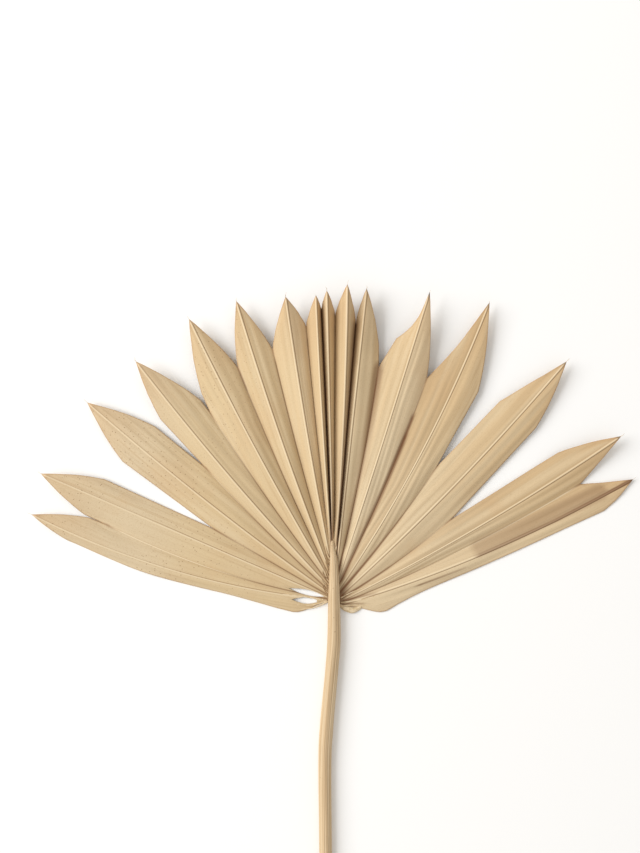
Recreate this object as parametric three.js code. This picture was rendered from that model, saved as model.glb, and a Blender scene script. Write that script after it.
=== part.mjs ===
// A dried fan-palm leaf, its tips trimmed to points, lying on a flat surface with its underside up.
// Millimetres, +Z up. The fan spreads along +Y and the cut stalk runs along -Y.
// It is two pieces: the blade, one thin pleated sheet of sixteen segments that grew together, and the stalk,
// which runs over the middle of the blade as a tapering rib and ends between the middle pleats.

import * as THREE from 'three';

// Plan positions, [x, y], are measured from the hub, where the stalk meets the fan.

// The segments, clockwise from the lowest on the left to the lowest on the right.
// tip: the trimmed point. before, after: the shoulders where the two slanting cuts start, on the sides of the
// segment before and the segment after, left out where the cut starts at the notch itself.
// bow: how far the rib sags outwards halfway along. rise: how high the rib stands over its valleys.
const SEGMENTS = [
  { tip: [-125.5, 35.5], before: [-110.5, 24.5], after: [-102, 34], bow: 6, rise: 2.2 },
  { tip: [-121.5, 52.5], before: [-104, 35.5], after: [-95.5, 50], bow: 0, rise: 2.6 },
  { tip: [-102.5, 82], before: [-88, 57.5], after: [-74.5, 72], bow: 1.5, rise: 2.8 },
  { tip: [-82, 99], before: [-72, 75], after: [-55.5, 83], bow: 1.5, rise: 3 },
  { tip: [-60, 116.5], before: [-55, 86], bow: 1.2, rise: 3.4 },
  { tip: [-40.5, 124], bow: 1.2, rise: 4 },
  { tip: [-20, 125.5], bow: 0.7, rise: 5.5 },
  { tip: [-7.5, 126], bow: 0.5, rise: 6.5 },
  { tip: [-3, 128], bow: 0, rise: 7 },
  { tip: [5.5, 130.5], bow: 1, rise: 7 },
  { tip: [13.5, 129], after: [18.5, 106], bow: 0, rise: 5.5 },
  { tip: [39.5, 127.5], before: [26, 108.5], bow: 0.3, rise: 4 },
  { tip: [64.5, 123.5], after: [60, 86.5], bow: 4, rise: 3.2 },
  { tip: [96.5, 99], before: [69, 82.5], after: [84, 71.5], bow: 2.3, rise: 2.8 },
  { tip: [119, 68], before: [93, 61], bow: 2.5, rise: 2.6 },
  { tip: [124.5, 50], after: [112.5, 37], bow: 3.8, rise: 2.2 },
];

// The valleys where two segments are joined, in the same order. notch: where the join ends and the two
// segments part. bow: how far the valley sags outwards halfway along.
const VALLEYS = [
  { notch: [-94.5, 31], bow: 3.5 },
  { notch: [-49.5, 29], bow: 0 },
  { notch: [-53, 54.5], bow: 0.8 },
  { notch: [-51, 77], bow: 0.8 },
  { notch: [-40, 96.5], bow: 0.8 },
  { notch: [-25.5, 104], bow: 0.7 },
  { notch: [-11.5, 113.5], bow: 0.3 },
  { notch: [-5.2, 120], bow: 0 },
  { notch: [0.5, 118], bow: 0 },
  { notch: [9, 114], bow: 0 },
  { notch: [18.5, 96.5], bow: 0 },
  { notch: [38.5, 92], bow: 1.5 },
  { notch: [42.5, 55], bow: 1.2 },
  { notch: [48.5, 33], bow: 1.2 },
  { notch: [102.5, 48], bow: 2.5 },
];

// The two outer margins of the fan, from the hub outwards, up to the last shoulder.
const FIRST_MARGIN = [[-14, -5], [-21, -4.2], [-43.5, 2], [-79.5, 11.5]];
const LAST_MARGIN = [[10.5, -3.5], [20, -5.2], [27, -1.7], [39.5, 4.5], [72, 18.5]];

// The flat strip under the stalk that all the segments spring from.
const SPINE_TOP = [-0.8, 21.5];
const SPINE_FOOT_LEFT = [-2.9, -0.5];
const SPINE_FOOT_RIGHT = [2.9, -2.5];
const SPINE_CROWDING = 1.6; // the segments spring closer together towards the foot
const SPINE_FLAT = [[-1.6, 1.2], [1.4, 0.2], [-0.6, 17]]; // the flat spot that the hub rests on
const SPINE_TURN = 19; // the spring point, counted from the foot, that lies level with the flat spot's middle

// The sheet.
const BLADE_THICKNESS = 0.7;
const LONGEST_MITRE = 2.2; // most that a fold's point moves to keep its thickness, over the thickness itself
const ROWS = 16; // steps along a segment, from its root to its tip
const CUT_ROW = 13; // where the slanting cuts start
const NOTCH_ROWS_A_LENGTH = 14.5; // puts a notch on the row that its place along the segments calls for
const FIRST_NOTCH_ROW = 4;
const LAST_NOTCH_ROW = 11;
const ROW_CROWDING = 1.25; // the steps are shorter towards the root
const STEEPEST_FOLD = 1.7; // most that a flank rises over its run in plan
const RISE_STARTS_AT = 0.055; // shares of a segment's length where its rib starts to rise and is fully risen
const FULL_RISE_AT = 0.7;
const FLANK_ARCH = 0.05; // how far a flank bulges upwards, as a share of its width
const CROWN = 3; // how far the middle of the fan stands clear of the surface
const CROWN_STARTS = 25; // distances from the hub where the crown starts and is full
const CROWN_FULL = 80;
const CROWN_REACH = THREE.MathUtils.degToRad(76); // angle from the middle where the crown has died out
const TIP_CURL = 4; // most that a tip curls up
const TIP_CURL_STEP = 2.4; // turn of phase from one tip to the next, so that no two neighbours curl alike
const COLUMNS = 4; // strips across a segment: two flanks, each in two halves
const TEAR_ROWS = 3; // length in rows of the two torn slits beside the hub
const TORN_COLUMN = { 0: 2, 1: 0 }; // the strip that is torn in the first and in the second segment

// The stalk, from its cut end up to the tip of the rib: y, x of its middle, width, height of its top.
const STALK = [
  { y: -285, x: -0.5, width: 5.8, top: 4.7 },
  { y: -230, x: -2, width: 5.6, top: 4.6 },
  { y: -165, x: -3.2, width: 5.5, top: 4.6 },
  { y: -105, x: -3.5, width: 5.4, top: 4.6 },
  { y: -69, x: -3.8, width: 5.6, top: 4.7 },
  { y: -53, x: -3.1, width: 5.8, top: 4.8 },
  { y: -30, x: -1, width: 5.6, top: 5 },
  { y: -16.5, x: 0, width: 5.7, top: 5.1 },
  { y: 0, x: 0, width: 5, top: 5.2 },
  { y: 9, x: 0, width: 4.2, top: 4.9 },
  { y: 16.5, x: -0.1, width: 2.9, top: 4 },
  { y: 21, x: -0.6, width: 1.5, top: 2.8 },
];
const STALK_STEPS = 44;
const STALK_SIDES = 12; // points round the arched part of its section
const STALK_FLAT = 0.6; // share of its width that is flat underneath
const STALK_FLANK = 0.45; // share of its height where it has its full width
const STALK_ARCH = 0.8; // fullness of the arch over its top: less is fuller
const STALK_STEP_FROM = -5.2; // where the underside starts and ends its step up over the blade
const STALK_STEP_TO = -3.8;
const STALK_CUT_SLANT = 0.35; // the cut end leans back by this much for each unit of height
const SEAT_GAP = 0.45; // between the flat spine and the stalk that lies over it

const SEGMENTS_A_SIDE = SEGMENTS.length / 2;
const ROOTS_A_SEGMENT = 4; // margin, flank, rib, flank
const ROOTS_A_SIDE = SEGMENTS_A_SIDE * ROOTS_A_SEGMENT;

const { clamp, lerp, mapLinear, smoothstep } = THREE.MathUtils;
const vector = ([x, y]) => new THREE.Vector2(x, y);
const between = (a, b, share) => a.clone().lerp(b, share);

// A line in plan that sags outwards, away from the middle of the fan.
function bowedLine(from, to, bow) {
  const along = to.clone().sub(from);
  const outwards = new THREE.Vector2(along.y, -along.x).normalize().multiplyScalar(Math.sign(to.x));
  const control = between(from, to, 0.5).addScaledVector(outwards, 2 * bow);
  return new THREE.QuadraticBezierCurve(from, control, to);
}

// The point on one edge of the spine, counted from its foot, where a rib, valley or flank springs.
function springPoint(index, isLeft) {
  const foot = vector(isLeft ? SPINE_FOOT_LEFT : SPINE_FOOT_RIGHT);
  return foot.lerp(vector(SPINE_TOP), (index / ROOTS_A_SIDE) ** SPINE_CROWDING);
}

// Height of the sheet's middle in the valleys: flat at the hub and the outer margins, raised in between.
function valleyHeight(point) {
  const bearing = Math.min(Math.abs(Math.atan2(point.x, point.y)) / CROWN_REACH, 1);
  const crown = 0.5 + 0.5 * Math.cos(Math.PI * bearing);
  return BLADE_THICKNESS / 2 + CROWN * crown * smoothstep(point.length(), CROWN_STARTS, CROWN_FULL);
}

// How far along its segment a point lies, from 0 at the root to 1 at the tip.
function shareAlong(point, root, tip) {
  const along = tip.clone().sub(root);
  return point.clone().sub(root).dot(along) / along.lengthSq();
}

// Segments with their ribs, and the spring points of their margins, flanks and ribs.
function layOutSegments() {
  return SEGMENTS.map((segment, index) => {
    const isLeft = index < SEGMENTS_A_SIDE;
    const place = isLeft ? index : SEGMENTS.length - 1 - index;
    const first = place * ROOTS_A_SEGMENT;
    const springs = [0, 1, 2, 3, 4].map((step) => (isLeft ? first + step : first + ROOTS_A_SEGMENT - step));
    const tip = vector(segment.tip);
    const root = springPoint(springs[2], isLeft);
    const curl = TIP_CURL * (0.5 + 0.5 * Math.sin(TIP_CURL_STEP * index));
    return { ...segment, index, isLeft, springs, tip, root, curl, rib: bowedLine(root, tip, segment.bow) };
  });
}

// The lines that bound the segments: from the spine to a notch, or along an outer margin to its shoulder.
// A notch that leaves the margins free for a stretch lies on an earlier row than one where the cuts start.
function layOutValleys(segments) {
  return Array.from({ length: SEGMENTS.length + 1 }, (_, index) => {
    const before = segments[index - 1];
    const after = segments[index];
    const spring = after ? springPoint(after.springs[0], after.isLeft) : springPoint(0, false);
    if (!before || !after) {
      const end = vector(before ? before.after : after.before);
      const stops = (before ? LAST_MARGIN : FIRST_MARGIN).map(vector);
      return { end, endRow: CUT_ROW, line: new THREE.SplineCurve([spring, ...stops, end]) };
    }
    const { notch, bow } = VALLEYS[index - 1];
    const end = vector(notch);
    const line = bowedLine(spring, end, bow);
    if (!before.after) {
      return { end, endRow: CUT_ROW, line };
    }
    const share = (shareAlong(end, before.root, before.tip) + shareAlong(end, after.root, after.tip)) / 2;
    const row = Math.round(share * NOTCH_ROWS_A_LENGTH);
    return { end, endRow: clamp(row, FIRST_NOTCH_ROW, LAST_NOTCH_ROW), line };
  });
}

// One margin of a segment as plan points, row by row: along the valley, free to the shoulder, cut to the tip.
function layOutMargin(segment, valley, shoulderPlace) {
  const shoulder = shoulderPlace ? vector(shoulderPlace) : valley.end;
  const points = [];
  for (let row = 0; row <= ROWS; row += 1) {
    if (row <= valley.endRow) {
      points.push(valley.line.getPointAt((row / valley.endRow) ** ROW_CROWDING));
    } else if (row <= CUT_ROW) {
      points.push(between(valley.end, shoulder, (row - valley.endRow) / (CUT_ROW - valley.endRow)));
    } else {
      points.push(between(shoulder, segment.tip, (row - CUT_ROW) / (ROWS - CUT_ROW)));
    }
  }
  return { points, notchRow: valley.endRow };
}

// Shares of a segment's length at which the rows cross its rib: midway between its two margins.
function ribShares(segment, margins) {
  const share = (point) => shareAlong(point, segment.root, segment.tip);
  return margins[0].points.map((point, row) => {
    if (row === 0 || row === ROWS) {
      return row / ROWS;
    }
    return (share(point) + share(margins[1].points[row])) / 2;
  });
}

// Heights of a rib, row by row: it rises from the spine, no steeper than the tightest fold, and keeps its
// rise from the shoulders to the tip.
function ribHeights(segment, plan, shares, margins) {
  let rise = 0;
  return plan.map((point, row) => {
    if (row <= CUT_ROW) {
      const run = Math.min(...margins.map((margin) => margin.points[row].distanceTo(point)));
      const grown = mapLinear(shares[row], RISE_STARTS_AT, FULL_RISE_AT, 0, 1);
      rise = Math.min(segment.rise * Math.sin((Math.PI / 2) * clamp(grown, 0, 1)), STEEPEST_FOLD * run);
    }
    return valleyHeight(point) + rise + segment.curl * shares[row] ** 3;
  });
}

// Heights of a margin, row by row: it follows the valley, lifts with the tip, and is cut up to the rib's end.
function marginHeights(segment, margin, tipHeight) {
  const freeRows = ROWS - margin.notchRow;
  const shoulderLift = (row) => segment.curl * (Math.max(row - margin.notchRow, 0) / freeRows) ** 3;
  const shoulderHeight = valleyHeight(margin.points[CUT_ROW]) + shoulderLift(CUT_ROW);
  return margin.points.map((point, row) => {
    if (row <= CUT_ROW) {
      return valleyHeight(point) + shoulderLift(row);
    }
    return lerp(shoulderHeight, tipHeight, (row - CUT_ROW) / (ROWS - CUT_ROW));
  });
}

// The middle surface of the blade: points, and triangles that run anticlockwise seen from above.
function layOutSheet() {
  const points = [];
  const places = new Map();
  const triangles = [];

  const vertex = (key, plan, height) => {
    if (!places.has(key)) {
      places.set(key, points.length);
      points.push(new THREE.Vector3(plan.x, plan.y, height));
    }
    return places.get(key);
  };
  const springVertex = (index, isLeft) => {
    const side = isLeft ? 'left' : 'right';
    const key = index === ROOTS_A_SIDE ? 'spine top' : `spine ${side} ${index}`;
    return vertex(key, springPoint(index, isLeft), BLADE_THICKNESS / 2);
  };
  const triangle = (...corners) => {
    if (new Set(corners).size === 3) {
      triangles.push(corners);
    }
  };
  const quad = (a, b, c, d) => {
    triangle(a, b, c);
    triangle(a, c, d);
  };

  const segments = layOutSegments();
  const valleys = layOutValleys(segments);
  for (const segment of segments) {
    const { index, isLeft, springs, tip } = segment;
    const margins = [
      layOutMargin(segment, valleys[index], segment.before),
      layOutMargin(segment, valleys[index + 1], segment.after),
    ];
    const shares = ribShares(segment, margins);
    const plan = shares.map((share) => segment.rib.getPoint(share));
    const ribs = ribHeights(segment, plan, shares, margins);
    const tipHeight = ribs[ROWS];
    const edges = margins.map((margin) => marginHeights(segment, margin, tipHeight));

    // One point of the sheet: columns 0 and 4 are the margins, 2 is the rib, 1 and 3 are the flanks' middles.
    const corner = (row, column) => {
      if (row === 0) {
        return springVertex(springs[column], isLeft);
      }
      if (row === ROWS) {
        return vertex(`tip ${index}`, tip, tipHeight);
      }
      if (column === 2) {
        return vertex(`rib ${index} ${row}`, plan[row], ribs[row]);
      }
      const side = column < 2 ? 0 : 1;
      const margin = margins[side];
      if (column === 0 || column === 4) {
        const owner = row <= margin.notchRow ? `valley ${index + side}` : `margin ${index} ${side}`;
        return vertex(`${owner} ${row}`, margin.points[row], edges[side][row]);
      }
      const run = margin.points[row].distanceTo(plan[row]);
      const height = (ribs[row] + edges[side][row]) / 2 + FLANK_ARCH * run * smoothstep(row, 0, TEAR_ROWS);
      return vertex(`flank ${index} ${side} ${row}`, between(plan[row], margin.points[row], 0.5), height);
    };

    // Low on the left, the first two segments are torn from the valley between them. A tear ends in a point.
    const isTorn = (row, column) => row < TEAR_ROWS && TORN_COLUMN[index] === column;
    for (let row = 0; row < ROWS; row += 1) {
      for (let column = 0; column < COLUMNS; column += 1) {
        const corners = [[row, column], [row, column + 1], [row + 1, column + 1], [row + 1, column]];
        const [a, b, c, d] = corners.map(([rowAt, columnAt]) => corner(rowAt, columnAt));
        if (!isTorn(row, column)) {
          quad(a, b, c, d);
        } else if (row === TEAR_ROWS - 1) {
          triangle(a, c, d);
        }
      }
    }
  }

  // The spine: a flat triangle in its middle, joined by fans of narrow ones to the spring points on its
  // edges.
  const [footLeft, footRight, top] = SPINE_FLAT.map((place, index) => {
    return vertex(`spine flat ${index}`, vector(place), BLADE_THICKNESS / 2);
  });
  triangle(footLeft, footRight, top);
  triangle(springVertex(0, true), springVertex(0, false), footRight);
  triangle(springVertex(0, true), footRight, footLeft);
  triangle(springVertex(SPINE_TURN, true), footLeft, top);
  triangle(footRight, springVertex(SPINE_TURN, false), top);
  for (let step = 0; step < ROOTS_A_SIDE; step += 1) {
    const isLow = step < SPINE_TURN;
    triangle(springVertex(step, true), isLow ? footLeft : top, springVertex(step + 1, true));
    triangle(springVertex(step, false), springVertex(step + 1, false), isLow ? footRight : top);
  }
  const flat = [...places].filter(([key]) => key.startsWith('spine')).map(([, place]) => place);
  return { points, triangles, flat: new Set(flat) };
}

// Directions in which each point of a sheet moves to thicken it, long enough to keep folds at full thickness.
function thickeningDirections({ points, triangles, flat }) {
  const faces = points.map(() => []);
  for (const corners of triangles) {
    const [a, b, c] = corners.map((place) => points[place]);
    const normal = b.clone().sub(a).cross(c.clone().sub(a)).normalize();
    corners.forEach((place, turn) => {
      const here = points[place];
      const next = points[corners[(turn + 1) % 3]].clone().sub(here);
      const last = points[corners[(turn + 2) % 3]].clone().sub(here);
      faces[place].push({ normal, angle: next.angleTo(last) });
    });
  }
  return points.map((_, place) => {
    if (flat.has(place)) {
      return new THREE.Vector3(0, 0, 1);
    }
    const sum = new THREE.Vector3();
    faces[place].forEach(({ normal, angle }) => sum.addScaledVector(normal, angle));
    sum.normalize();
    const least = Math.min(...faces[place].map(({ normal }) => normal.dot(sum)));
    return sum.multiplyScalar(Math.min(1 / least, LONGEST_MITRE));
  });
}

// A closed solid around a sheet, all above the surface that it lies on: the same triangles on both faces, and
// walls along every free edge.
function thicken(sheet, thickness) {
  const { points, triangles } = sheet;
  const directions = thickeningDirections(sheet);
  points.forEach((point, place) => {
    point.z = Math.max(point.z, (thickness / 2) * directions[place].z);
  });
  const shifted = (reach) => {
    return points.map((point, place) => point.clone().addScaledVector(directions[place], reach));
  };
  const vertices = [...shifted(thickness / 2), ...shifted(-thickness / 2)];
  const under = points.length;

  const indices = [];
  const edges = new Set();
  for (const [a, b, c] of triangles) {
    indices.push(a, b, c, under + a, under + c, under + b);
    [[a, b], [b, c], [c, a]].forEach(([from, to]) => edges.add(`${from} ${to}`));
  }
  for (const edge of edges) {
    const [from, to] = edge.split(' ').map(Number);
    if (!edges.has(`${to} ${from}`)) {
      indices.push(from, under + from, under + to, from, under + to, to);
    }
  }
  return closedGeometry(vertices, indices);
}

function closedGeometry(vertices, indices) {
  const geometry = new THREE.BufferGeometry().setFromPoints(vertices);
  geometry.setIndex(indices);
  geometry.computeVertexNormals();
  return geometry;
}

// The stalk's section at one station: flat underneath, arched over the top.
function stalkRing({ y, x, width, top }) {
  const over = smoothstep(y, STALK_STEP_FROM, STALK_STEP_TO);
  const underside = over * (BLADE_THICKNESS + SEAT_GAP);
  const ring = [];
  for (let side = 0; side < STALK_SIDES; side += 1) {
    const turn = (Math.PI * side) / (STALK_SIDES - 1);
    const outwards = Math.cos(turn);
    const shoulder = Math.sin(turn) ** STALK_ARCH;
    const reach = lerp(STALK_FLAT, 1, Math.min(1, shoulder / STALK_FLANK));
    const height = lerp(underside, top, shoulder);
    ring.push(new THREE.Vector3(x + (width / 2) * outwards * reach, y, height));
  }
  return ring;
}

function stalkGeometry() {
  const curve = (name) => {
    return new THREE.SplineCurve(STALK.map((station) => new THREE.Vector2(station.y, station[name])));
  };
  const curves = { x: curve('x'), width: curve('width'), top: curve('top') };
  const rings = [];
  for (let step = 0; step <= STALK_STEPS; step += 1) {
    const share = step / STALK_STEPS;
    const station = { y: curves.x.getPoint(share).x };
    for (const name of ['x', 'width', 'top']) {
      station[name] = curves[name].getPoint(share).y;
    }
    rings.push(stalkRing(station));
  }
  rings[0].forEach((point) => {
    point.y += STALK_CUT_SLANT * point.z;
  });

  const vertices = rings.flat();
  const indices = [];
  const sides = STALK_SIDES;
  for (let step = 0; step < STALK_STEPS; step += 1) {
    for (let side = 0; side < sides; side += 1) {
      const next = (side + 1) % sides;
      const a = step * sides + side;
      const b = step * sides + next;
      indices.push(a, b + sides, b, a, a + sides, b + sides);
    }
  }
  const last = STALK_STEPS * sides;
  for (let side = 1; side < sides - 1; side += 1) {
    indices.push(0, side, side + 1);
    indices.push(last, last + side + 1, last + side);
  }
  return closedGeometry(vertices, indices);
}

function piece(name, geometry, colour, roughness) {
  const material = new THREE.MeshStandardMaterial({ color: colour, roughness, metalness: 0 });
  const mesh = new THREE.Mesh(geometry, material);
  mesh.name = name;
  return mesh;
}

const leaf = new THREE.Group();
leaf.add(piece('fan_blade', thicken(layOutSheet(), BLADE_THICKNESS), 0xdcc7a0, 0.8));
leaf.add(piece('stalk', stalkGeometry(), 0xd9bd8c, 0.7));

// The origin is at the middle of the leaf's box, on the surface that it lies on.
const box = new THREE.Box3().setFromObject(leaf);
const middle = box.getCenter(new THREE.Vector3());
leaf.position.set(-middle.x, -middle.y, -box.min.z);

export default leaf;
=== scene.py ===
# %% [markdown]
# # A dried palm spear
#
# A young leaf of a fan palm is cut, dried flat and trimmed so that each of its pleats ends in a slanted
# point. It lies on a pale surface with its underside up, and the stalk runs over the middle of the fan.
# Two solids already hold its size and place: the pleated blade and the stalk. This script dresses them
# with finer meshes of the same form and gives them the look of dry leaf.

# %% Frame and units
import bisect
import math
import random
from types import SimpleNamespace

import bmesh
import bpy
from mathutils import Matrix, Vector, noise
from mathutils.bvhtree import BVHTree


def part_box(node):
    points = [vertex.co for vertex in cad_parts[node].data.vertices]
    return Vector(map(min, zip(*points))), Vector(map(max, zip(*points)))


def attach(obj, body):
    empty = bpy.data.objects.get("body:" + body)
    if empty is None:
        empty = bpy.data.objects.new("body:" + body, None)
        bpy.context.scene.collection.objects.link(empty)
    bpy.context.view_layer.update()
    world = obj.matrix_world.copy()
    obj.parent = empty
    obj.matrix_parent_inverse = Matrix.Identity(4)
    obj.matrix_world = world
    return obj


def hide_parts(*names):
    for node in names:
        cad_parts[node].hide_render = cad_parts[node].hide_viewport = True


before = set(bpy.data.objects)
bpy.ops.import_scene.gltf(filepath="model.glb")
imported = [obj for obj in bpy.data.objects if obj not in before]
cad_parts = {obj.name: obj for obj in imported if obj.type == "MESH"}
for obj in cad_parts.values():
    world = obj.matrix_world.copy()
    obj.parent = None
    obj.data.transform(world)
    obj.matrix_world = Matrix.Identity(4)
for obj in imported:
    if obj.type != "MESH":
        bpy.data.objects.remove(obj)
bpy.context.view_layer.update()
blade_low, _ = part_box("fan_blade")
stalk_low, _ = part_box("stalk")

MM = 0.001
LEFTMOST_TIP = -125.5  # millimetres from the hub, where the stalk meets the fan
STALK_END = -285.0
hub = Vector((blade_low.x - LEFTMOST_TIP * MM, stalk_low.y - STALK_END * MM, 0.0))


def placed(x, y, z):
    """A point in the frame, from its place in millimetres from the hub."""
    return hub + Vector((x, y, z)) * MM


# %% [markdown]
# ## Where the pleats run
#
# Each segment of the fan is a roof: a rib along its ridge, and two flanks that fall to the valleys beside it.
# Neighbours share a valley up to a notch. Past the notch the segment's sides are free, and from its two
# shoulders slanting cuts run to the tip. The plan is the solid's, in millimetres from the hub, so that the
# fine blade lies where the solid lies. The heights of the ribs follow the shading of the real leaf.

# %% Driving dimensions of the fan
# Tip, shoulder on the side before, shoulder on the side after, sag of the rib, height of the rib.
SEGMENTS = [
    ((-125.5, 35.5), (-110.5, 24.5), (-102, 34), 6, 1.5),
    ((-121.5, 52.5), (-104, 35.5), (-95.5, 50), 0, 1.7),
    ((-102.5, 82), (-88, 57.5), (-74.5, 72), 1.5, 2.3),
    ((-82, 99), (-72, 75), (-55.5, 83), 1.5, 2.7),
    ((-60, 116.5), (-55, 86), None, 1.2, 3.4),
    ((-40.5, 124), None, None, 1.2, 3.2),
    ((-20, 125.5), None, None, 0.7, 3.3),
    ((-7.5, 126), None, None, 0.5, 6.5),
    ((-3, 128), None, None, 0, 7),
    ((5.5, 130.5), None, None, 1, 7),
    ((13.5, 129), None, (18.5, 106), 0, 5.5),
    ((39.5, 127.5), (26, 108.5), None, 0.3, 2.5),
    ((64.5, 123.5), None, (60, 86.5), 4, 1.2),
    ((96.5, 99), (69, 82.5), (84, 71.5), 2.3, 1.4),
    ((119, 68), (93, 61), None, 2.5, 1.2),
    ((124.5, 50), None, (112.5, 37), 3.8, 0.7),
]
# Notch and sag of each valley between two segments.
VALLEYS = [
    ((-94.5, 31), 3.5), ((-49.5, 29), 0), ((-53, 54.5), 0.8), ((-51, 77), 0.8), ((-40, 96.5), 0.8),
    ((-25.5, 104), 0.7), ((-11.5, 113.5), 0.3), ((-5.2, 120), 0), ((0.5, 118), 0), ((9, 114), 0),
    ((18.5, 96.5), 1.2), ((38.5, 92), 1.5), ((42.5, 55), 1.2), ((48.5, 33), 1.2), ((102.5, 48), 2.5),
]
FIRST_MARGIN = [(-14, -5), (-21, -4.2), (-43.5, 2), (-79.5, 11.5)]
LAST_MARGIN = [(10.5, -3.5), (20, -5.2), (27, -1.7), (39.5, 4.5), (72, 18.5)]
SPINE_TOP = (-0.8, 21.5)
SPINE_FOOT = {"left": (-2.9, -0.5), "right": (2.9, -2.5)}
SPINE_CROWDING = 1.6
print(len(SEGMENTS), "segments and", len(VALLEYS), "valleys")

# %% Lines in plan


def bowed_line(start, end, bow):
    """A line that sags outwards, away from the middle of the fan."""
    along = end - start
    outwards = Vector((along.y, -along.x)).normalized() * math.copysign(1, end.x)
    control = (start + end) / 2 + outwards * 2 * bow
    return lambda share: start.lerp(control, share).lerp(control.lerp(end, share), share)


def smooth_line(stops):
    """A curve through a few points that leaves each one in the direction of its neighbours."""
    last = len(stops) - 1

    def point(share):
        span = min(int(share * last), last - 1)
        t = share * last - span
        a, b, c, d = (stops[min(max(span + step, 0), last)] for step in (-1, 0, 1, 2))
        ease = t * t * (3 - 2 * t)
        return b.lerp(c, ease) + (c - a) * (t * (1 - t) ** 2 / 2) - (d - b) * (t * t * (1 - t) / 2)

    return point


def by_length(line, steps=120):
    """The same line, followed at an even pace."""
    points = [line(step / steps) for step in range(steps + 1)]
    reached = [0.0]
    for a, b in zip(points, points[1:]):
        reached.append(reached[-1] + (b - a).length)

    def point(share):
        wanted = share * reached[-1]
        upper = min(max(bisect.bisect_left(reached, wanted), 1), steps)
        rest = (wanted - reached[upper - 1]) / (reached[upper] - reached[upper - 1])
        return points[upper - 1].lerp(points[upper], rest)

    return point


def smoothstep(value, low, high):
    """0 up to low, 1 from high on, and an even ease between them."""
    share = min(max((value - low) / (high - low), 0), 1)
    return share * share * (3 - 2 * share)


print("halfway along the first margin:", by_length(smooth_line([Vector(p) for p in FIRST_MARGIN]))(0.5))

# %% [markdown]
# ## Rows along a segment
#
# A segment is worked as a grid. Rows run from its root on the spine to its tip, and columns from one margin
# over the rib to the other. All segments have the same number of rows, so neighbours meet point to point
# along a shared valley and can be welded there.

# %% Plan of the rows
ROWS = 48
CUT_ROW = 39  # where the slanting cuts start
NOTCH_ROWS_A_LENGTH = 14.5  # coarse rows to a length, three fine rows in each
NOTCH_ROW_RANGE = (4, 11)
FINE_ROWS = 3
ROW_CROWDING = 1.25
ROOTS_A_SEGMENT = 4
SEGMENTS_A_SIDE = len(SEGMENTS) // 2
CUT_RAGGEDNESS = 0.22
CUT_BOW = 0.035  # of the cut's length, outwards
CUT_EASE = 0.4  # of the bow, lost towards the tip
# The bow of the cuts that differ, by segment and side.
OTHER_BOWS = {(11, 0): -0.125, (12, 0): -0.035, (13, 0): 0.0, (14, 1): 0.0, (15, 0): -0.01}


def spring_point(place, side):
    """The point on one edge of the spine, counted in roots from its foot."""
    share = (place / (ROOTS_A_SEGMENT * SEGMENTS_A_SIDE)) ** SPINE_CROWDING
    return Vector(SPINE_FOOT[side]).lerp(Vector(SPINE_TOP), share)


def share_along(point, segment):
    """How far along its segment a point lies, from 0 at the root to 1 at the tip."""
    along = segment.tip - segment.root
    return (point - segment.root).dot(along) / along.length_squared


def new_segment(index):
    """A segment's own facts: its side, its roots on the spine, and its rib."""
    tip, before, after, bow, rise = SEGMENTS[index]
    side = "left" if index < SEGMENTS_A_SIDE else "right"
    place = index if side == "left" else len(SEGMENTS) - 1 - index
    turn = 1 if side == "left" else -1
    middle = ROOTS_A_SEGMENT * place + ROOTS_A_SEGMENT // 2
    root = spring_point(middle, side)
    segment = SimpleNamespace(index=index, side=side, turn=turn, middle=middle, root=root, tip=Vector(tip))
    segment.shoulders = [Vector(shoulder) if shoulder else None for shoulder in (before, after)]
    segment.rib_line = bowed_line(root, segment.tip, bow)
    segment.rise = rise
    return segment


def spring_of(segment, across):
    """Where a column springs from the spine: across runs from -1 at one margin to 1 at the other."""
    half = ROOTS_A_SEGMENT / 2
    return spring_point(segment.middle + segment.turn * half * across, segment.side)


segments = [new_segment(index) for index in range(len(SEGMENTS))]
print("roots from", segments[0].root, "to", segments[-1].root)

# %% Valleys and margins


def new_valley(index):
    """The line between two segments, or an outer margin, with the row where it ends."""
    before = segments[index - 1] if index else None
    after = segments[index] if index < len(segments) else None
    if before and after:
        notch, bow = VALLEYS[index - 1]
        end = Vector(notch)
        line = bowed_line(spring_of(after, -1), end, bow)
        row = CUT_ROW
        if before.shoulders[1]:
            share = (share_along(end, before) + share_along(end, after)) / 2
            row = round(share * NOTCH_ROWS_A_LENGTH)
            row = FINE_ROWS * min(max(row, NOTCH_ROW_RANGE[0]), NOTCH_ROW_RANGE[1])
        return SimpleNamespace(line=by_length(line), end=end, row=row, joined=True)
    owner = after or before
    end = owner.shoulders[0 if after else 1]
    stops = [Vector(stop) for stop in (FIRST_MARGIN if after else LAST_MARGIN)]
    line = smooth_line([spring_of(owner, -1 if after else 1), *stops, end])
    return SimpleNamespace(line=by_length(line), end=end, row=CUT_ROW, joined=False)


def margin_points(segment, side):
    """One margin, row by row: along the valley, free to the shoulder, then cut to the tip."""
    valley = segment.valleys[side]
    shoulder = segment.shoulders[side] or valley.end
    cut = segment.tip - shoulder
    outwards = Vector((-cut.y, cut.x)).normalized() * (1 if side == 0 else -1)
    bow = cut.length * OTHER_BOWS.get((segment.index, side), CUT_BOW)
    points = []
    for row in range(ROWS + 1):
        if row <= valley.row:
            points.append(valley.line((row / valley.row) ** ROW_CROWDING))
        elif row <= CUT_ROW:
            points.append(valley.end.lerp(shoulder, (row - valley.row) / (CUT_ROW - valley.row)))
        else:
            share = (row - CUT_ROW) / (ROWS - CUT_ROW)
            nick = CUT_RAGGEDNESS * noise.noise((segment.index * 3.7, shoulder.x, row * 0.61))
            bulge = (bow + nick) * math.sin(math.pi * share) * (1 - CUT_EASE * share)
            points.append(shoulder + cut * share + outwards * bulge)
    return points


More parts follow.
